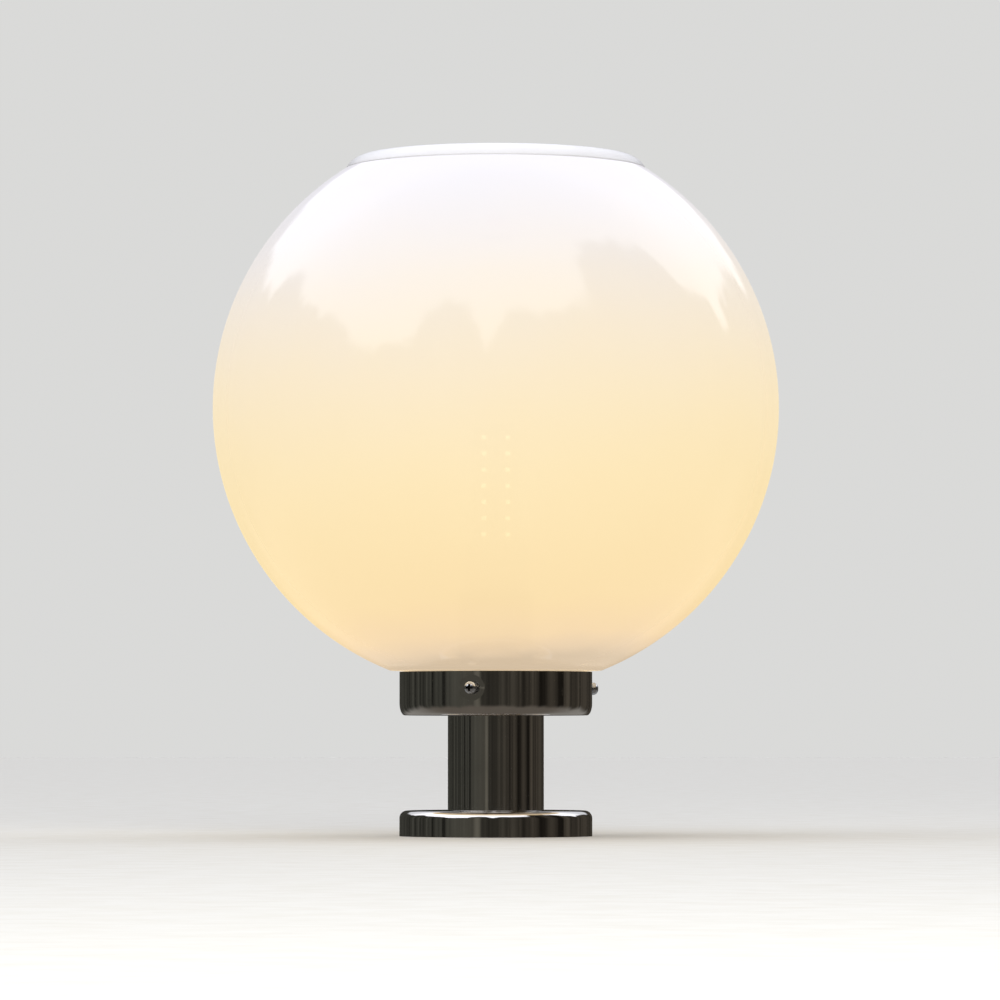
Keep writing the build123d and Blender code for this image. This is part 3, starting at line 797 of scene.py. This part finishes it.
def pan_head(radius, height, seat):
    """A round-edged screw head on a seat, with its cross recess cut."""
    top = seat + height
    edge = HEAD_EDGE * height
    depth = height * RECESS_DEPTH
    outline = [(0, seat), (radius, seat)]
    outline += arc((radius - edge, top - edge), edge, 0, math.pi / 2)
    outline += [(0, top)]
    head = lathe(outline, False, SMALL_SEGMENTS)
    return carve(head, cross_recess(radius * RECESS_REACH, depth, top - depth))


# Painted shade: a dark metal on the walls of each cross recess, where shade falls
recess = brushed_metal("recess_painted_shade", (0.10, 0.095, 0.09), 0.55, 0.1)
for number, angle, height in clamps:
    seat = cup_radius + clamp_standoff
    shank = threaded(
        clamp_shank_radius, clamp_thread_depth, clamp_thread_pitch, clamp_tip, seat + clamp_shank_overlap
    )
    head = pan_head(clamp_head_radius, clamp_head_height, seat)
    turned = outwards(angle, height)
    piece(
        f"clamp_screw_{number}",
        placed([(shank, turned), (head, turned)]),
        f"clamp_screw_{number}",
        [MATERIALS["screw_steel"], recess],
        [f"clamp_screw_{number}"],
    )


# Globe


def globe():
    """The opal shell: neck, flat shoulder, sphere and cut top. Its inner face has the second material."""
    middle = (0, globe_centre)
    bend_height = shoulder_height + shoulder_rounding
    bend_radius = math.sqrt((globe_radius - shoulder_rounding) ** 2 - (globe_centre - bend_height) ** 2)
    low_angle = math.atan2(bend_height - globe_centre, bend_radius)
    top_angle = math.asin((globe_high[2] - globe_centre) / globe_radius)
    inner_radius = globe_radius - globe_wall
    shoulder_top = shoulder_height + globe_wall
    inner_low = math.asin((shoulder_top - globe_centre) / inner_radius)
    inner_top = math.asin((globe_high[2] - globe_centre) / inner_radius)
    outline = [
        (neck_radius - globe_wall, neck_low[2]),
        (neck_radius - neck_edge, neck_low[2]),
        (neck_radius, neck_low[2] + neck_edge),
        (neck_radius, shoulder_height - neck_edge),
        (neck_radius + neck_edge, shoulder_height),
        (bend_radius - shoulder_hold, shoulder_height),
    ]
    outline += arc((bend_radius, bend_height), shoulder_rounding, -math.pi / 2, low_angle, SHOULDER_STEPS)
    outline += arc(middle, globe_radius, low_angle, top_angle, GLOBE_STEPS)[1:]
    outline += arc(middle, inner_radius, inner_top, inner_low, GLOBE_INSIDE_STEPS)
    outline += [(neck_radius - globe_wall, shoulder_top)]
    shell = lathe(outline)
    for face in shell.faces:
        spot = face.calc_center_median()
        inside = (spot - Vector((0, 0, globe_centre))).length < globe_radius - globe_inside_depth
        face.material_index = 1 if inside and spot[2] > shoulder_height else 0
    return shell


piece(
    "globe",
    globe(),
    "globe",
    [MATERIALS["opal_acrylic"], opal_inside()],
    ["globe", "globe_bowl", "globe_neck"],
)


# Solar head

bezel_low, bezel_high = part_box("solar_bezel")
bezel_radius = width_radius(bezel_low, bezel_high)
bezel_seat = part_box("head_gasket")[1][2]
panel_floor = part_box("panel_backplate")[0][2]


def bezel_outline():
    """The lid's section: skirt, lip over the gasket, crowned rim, panel recess and hole for its lead."""
    radius = (bezel_crown_width**2 + bezel_height**2) / (2 * bezel_height)
    centre = (bezel_radius - bezel_crown_width, bezel_seat + bezel_height - radius)
    rim = math.acos(bezel_crown_width / radius)
    lip = math.acos((bezel_recess_radius - centre[0]) / radius)
    crown = arc(centre, radius, rim, lip, CROWN_STEPS)
    return rounded([
        (skirt_radius - skirt_wall, bezel_low[2], skirt_inner_rounding),
        (skirt_radius, bezel_low[2], skirt_outer_rounding),
        (skirt_radius, bezel_seat, skirt_root_rounding),
        (bezel_radius - bezel_lip_width, bezel_seat, 0),
        (bezel_radius - bezel_lip_width, bezel_seat - bezel_lip_drop, 0),
        (bezel_radius, bezel_seat - bezel_lip_drop, bezel_lip_rounding),
        *[(*point, 0) for point in crown[:-CROWN_TRIM]],
        (*crown[-1], bezel_edge_rounding),
        (bezel_recess_radius, panel_floor, 0),
        (panel_lead_radius, panel_floor, 0),
        (panel_lead_radius, bezel_seat, 0),
        (skirt_radius - skirt_wall, bezel_seat, 0),
    ])


def lid_plastic():
    """The lid's white plastic, with painted shade that darkens it down towards its seam."""
    material = moulded("lid_plastic", LID_WHITE, 0.34)
    tree = material.node_tree
    colour = tree.nodes["Principled BSDF"].inputs["Base Color"]
    low = bezel_seat - bezel_lip_drop
    # Painted shade: the base colour darkens from the crown down to the lip over the gasket
    soil_and_shade = remap(tree, along(tree, "Z"), low, low + bezel_height, 1.0, 0.0, True)
    tree.links.new(blend_colours(tree, soil_and_shade, colour.links[0].from_socket, LID_PAINTED_SHADE), colour)
    return material


piece(
    "solar_bezel",
    lathe(bezel_outline()),
    "solar_head",
    [lid_plastic()],
    ["solar_bezel"],
)


def ribbons():
    """A flat tinned ribbon along each strip of cell, in the gap under the cover."""
    strips = []
    for low, high in islands("solar_cells"):
        middle = (low[0] + high[0]) / 2
        bottom = high[2] + ribbon_lift
        strip = brick(
            (middle - ribbon_width / 2, low[1] + ribbon_end_gap, bottom),
            (middle + ribbon_width / 2, high[1] - ribbon_end_gap, bottom + ribbon_thickness),
        )
        strips.append((strip, Matrix.Identity(4)))
    return placed(strips)


piece("cell_ribbons", ribbons(), "solar_head", [MATERIALS["contact_metal"]])


def tub_screws():
    """The screws under the tub's flange, with their heads down."""
    screws = []
    for low, high in islands("tub_screws"):
        seat = low[2] + tub_screw_head_height
        place = Matrix.Translation(((low[0] + high[0]) / 2, (low[1] + high[1]) / 2, seat))
        head = pan_head((high[0] - low[0]) / 2, tub_screw_head_height, 0)
        screws.append((head, place @ Matrix.Rotation(math.pi, 4, "X")))
        screws.append((plug(tub_screw_radius, 0, high[2] - seat, SMALL_SEGMENTS), place))
    return placed(screws)


piece(
    "tub_screws",
    tub_screws(),
    "solar_head",
    [MATERIALS["plated_steel"], recess],
    ["tub_screws"],
)


# Lamp


def diode():
    """One diode on its seat: a white package with a lit window let into its face."""
    corner = (diode_width / 2, diode_length / 2, diode_height)
    mesh = brick((-corner[0], -corner[1], 0), corner)
    window = max(mesh.faces, key=lambda face: face.calc_center_median()[2])
    bmesh.ops.inset_region(mesh, faces=[window], thickness=diode_frame)
    bmesh.ops.inset_region(mesh, faces=[window], thickness=diode_window_slope, depth=-diode_window_depth)
    window.material_index = 1
    return mesh


def diodes():
    """The diodes on the core's six sides and on its end."""
    end_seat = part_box("led_end_board")[1][2]
    made = []
    for low, high in islands("light_diodes"):
        middle = (low + high) / 2
        angle = round(math.atan2(middle[1], middle[0]) / (math.pi / 3)) * math.pi / 3
        if low[2] > end_seat - MM:
            upright = Matrix.Rotation(angle + math.pi / 2, 4, "Z")
            place = Matrix.Translation((middle[0], middle[1], end_seat)) @ upright
        else:
            seat = math.hypot(middle[0], middle[1]) - diode_height / 2
            place = outwards(angle, middle[2]) @ Matrix.Translation((0, 0, seat))
        made.append((diode(), place))
    return placed(made)


piece(
    "light_diodes",
    diodes(),
    "led_lamp",
    [MATERIALS["white_board"], MATERIALS["lit_diode"]],
    ["light_diodes"],
)


# Light

BACKDROP = (0.70, 0.70, 0.69)
SKY = (1.76, 1.78, 1.92)
BACK_SKY = (0.85, 0.87, 0.94)
GROUND = (0.145, 0.126, 0.107)
PAVING = (0.30, 0.287, 0.268)
LEFT_TINT = (1.0, 0.99, 0.84)
RIGHT_TINT = (1.0, 0.86, 0.68)
# Panels round the lamp: azimuth from the front and half width (degrees), brightness and how far it covers
PANELS = (
    (-40, 17, 0.095, 0.7),
    (-22, 3, 0.17, 0.85),
    (-8, 8, 0.026, 0.6),
    (10, 3, 0.055, 0.6),
    (21, 3, 0.080, 0.7),
    (33, 3, 0.022, 0.7),
    (58, 5, 0.010, 0.9),
    (71, 4, 0.060, 0.7),
    (84, 5, 0.009, 0.9),
    (96, 4, 0.090, 0.8),
    (131, 6, 0.085, 0.6),
)
# Half the width over which a panel's edge fades, in degrees
PANEL_SOFTNESS = 3
# Where the mirrored sky ends: azimuth from the front (degrees) and height of the direction
SKYLINE = (
    (-180, 0.36),
    (-126, 0.40),
    (-115, 0.55),
    (-107, 0.56),
    (-103, 0.49),
    (-72, 0.47),
    (-61, 0.32),
    (-35, 0.39),
    (-32, 0.56),
    (-24, 0.63),
    (-13, 0.63),
    (-4, 0.34),
    (5, 0.59),
    (26, 0.56),
    (46, 0.63),
    (49, 0.80),
    (60, 0.86),
    (82, 0.83),
    (97, 0.74),
    (100, 0.54),
    (112, 0.49),
    (114, 0.34),
    (118, 0.34),
    (122, 0.41),
    (143, 0.39),
    (150, 0.27),
    (180, 0.36),
)
SKYLINE_SOFTNESS = 0.03
FLOOR_COLOUR = (0.593, 0.583, 0.535)
FLOOR_REACH = 14.0
FLOOR_THICKNESS = 0.01
FILL_PLACE = (0.4, -2.6, 1.2)
FILL_AIM = (0, 0, 0.25)
FILL_SIZE = 1.2
FILL_POWER = 29.0
FILL_COLOUR = (1.0, 0.99, 0.98)
CAMERA_PLACE = (0.0022, -2.9, 0.050)
CAMERA_AIM = (0.0022, 0.0, 0.1779)
CAMERA_SENSOR = 36.0
CAMERA_LENS = 197.1
CAMERA_REACH = 100.0


def panel_light(tree, azimuth, around):
    """How bright the surroundings are round the lamp: uneven, with the panels over that."""
    level = remap(tree, noise(tree, around, 11.0, 4.0, 0.7), 0.40, 0.60, 0.010, 0.085)
    for middle, half_width, brightness, cover in PANELS:
        full = math.radians(half_width - PANEL_SOFTNESS)
        none = math.radians(half_width + PANEL_SOFTNESS)
        share = remap(tree, distance(tree, azimuth, math.radians(middle)), full, none, cover, 0.0, True)
        mix = node(tree, "ShaderNodeMix", {"Factor": share, "A": level, "B": brightness}, data_type="FLOAT")
        level = mix.outputs["Result"]
    return level


def surroundings(tree):
    """What the lamp mirrors: an overcast sky over a skyline, dim panels round the lamp and the ground."""
    direction = node(tree, "ShaderNodeTexCoord").outputs["Generated"]
    parts = node(tree, "ShaderNodeSeparateXYZ", {"Vector": direction})
    back = sums(tree, "MULTIPLY", parts.outputs["Y"], -1.0)
    azimuth = sums(tree, "ARCTAN2", parts.outputs["X"], back)
    around = node(tree, "ShaderNodeCombineXYZ", {"X": azimuth}).outputs["Vector"]
    tint = blend_colours(tree, remap(tree, azimuth, -1.2, 0.8), LEFT_TINT, RIGHT_TINT)
    level = panel_light(tree, azimuth, around)
    horizon = node(tree, "ShaderNodeVectorMath", {0: tint, "Scale": level}, operation="SCALE")
    behind = remap(tree, distance(tree, azimuth, 0.0), 1.2, 2.4, smooth=True)
    ground = blend_colours(tree, behind, GROUND, PAVING)
    uneven = remap(tree, noise(tree, around, 3.0, 2.0, 0.5), 0.3, 0.7, -0.03, 0.16)
    depth = remap(tree, sums(tree, "ADD", parts.outputs["Z"], uneven), -0.05, -0.35, smooth=True)
    scenery = blend_colours(tree, depth, horizon.outputs["Vector"], ground)
    stops = [((turn + 180) / 360, (edge, edge, edge)) for turn, edge in SKYLINE]
    sky_edge = ramp(tree, remap(tree, azimuth, -math.pi, math.pi), stops, "LINEAR")
    ragged = remap(tree, noise(tree, direction, 11.0, 4.0, 0.6), 0.3, 0.7, -0.04, 0.04)
    above = sums(tree, "SUBTRACT", sums(tree, "ADD", parts.outputs["Z"], ragged), sky_edge)
    sky = blend_colours(tree, remap(tree, parts.outputs["Y"], 0.35, 0.85, smooth=True), SKY, BACK_SKY)
    open_sky = remap(tree, above, -SKYLINE_SOFTNESS, SKYLINE_SOFTNESS, smooth=True)
    return blend_colours(tree, open_sky, scenery, sky)


def world():
    """A plain pale backdrop for the camera, and the surroundings for light and reflections."""
    made = bpy.data.worlds.new("studio")
    made.use_nodes = True
    tree = made.node_tree
    plain = tree.nodes["Background"]
    plain.inputs["Color"].default_value = (*BACKDROP, 1)
    mirrored = node(tree, "ShaderNodeBackground", {"Color": surroundings(tree)})
    mix = node(tree, "ShaderNodeMixShader")
    tree.links.new(node(tree, "ShaderNodeLightPath").outputs["Is Camera Ray"], mix.inputs[0])
    tree.links.new(mirrored.outputs["Background"], mix.inputs[1])
    tree.links.new(plain.outputs["Background"], mix.inputs[2])
    tree.links.new(mix.outputs["Shader"], tree.nodes["World Output"].inputs["Surface"])
    bpy.context.scene.world = made


def floor():
    """A wide pale floor, out of the metal's reflections, which show the surroundings' own ground."""
    mesh = brick((-FLOOR_REACH, -FLOOR_REACH, -FLOOR_THICKNESS), (FLOOR_REACH, FLOOR_REACH, 0.0))
    data = bpy.data.meshes.new("floor")
    mesh.to_mesh(data)
    mesh.free()
    data.materials.append(moulded("floor", FLOOR_COLOUR, 0.75, 300.0, 0.05, soil_and_shade=0.05))
    ground = bpy.data.objects.new("floor", data)
    bpy.context.scene.collection.objects.link(ground)
    ground.visible_glossy = False


def facing(place, aim):
    """The turn that points an object's -Z from a place to an aim."""
    return (Vector(aim) - Vector(place)).to_track_quat("-Z", "Y").to_euler()


def fill_light():
    """A soft round light from the front, out of the reflections."""
    light = bpy.data.lights.new("fill", "AREA")
    light.shape = "DISK"
    light.size = FILL_SIZE
    light.energy = FILL_POWER
    light.color = FILL_COLOUR
    made = bpy.data.objects.new("fill", light)
    made.location = FILL_PLACE
    made.rotation_euler = facing(FILL_PLACE, FILL_AIM)
    made.visible_glossy = False
    bpy.context.scene.collection.objects.link(made)


def camera():
    """The photograph's view: low, from about 2.9 m, looking a little up."""
    data = bpy.data.cameras.new("camera")
    data.sensor_width = CAMERA_SENSOR
    data.lens = CAMERA_LENS
    data.clip_end = CAMERA_REACH
    made = bpy.data.objects.new("camera", data)
    made.location = CAMERA_PLACE
    made.rotation_euler = facing(CAMERA_PLACE, CAMERA_AIM)
    bpy.context.scene.collection.objects.link(made)
    bpy.context.scene.camera = made


world()
floor()
fill_light()
camera()
bpy.context.scene.view_settings.view_transform = "Standard"
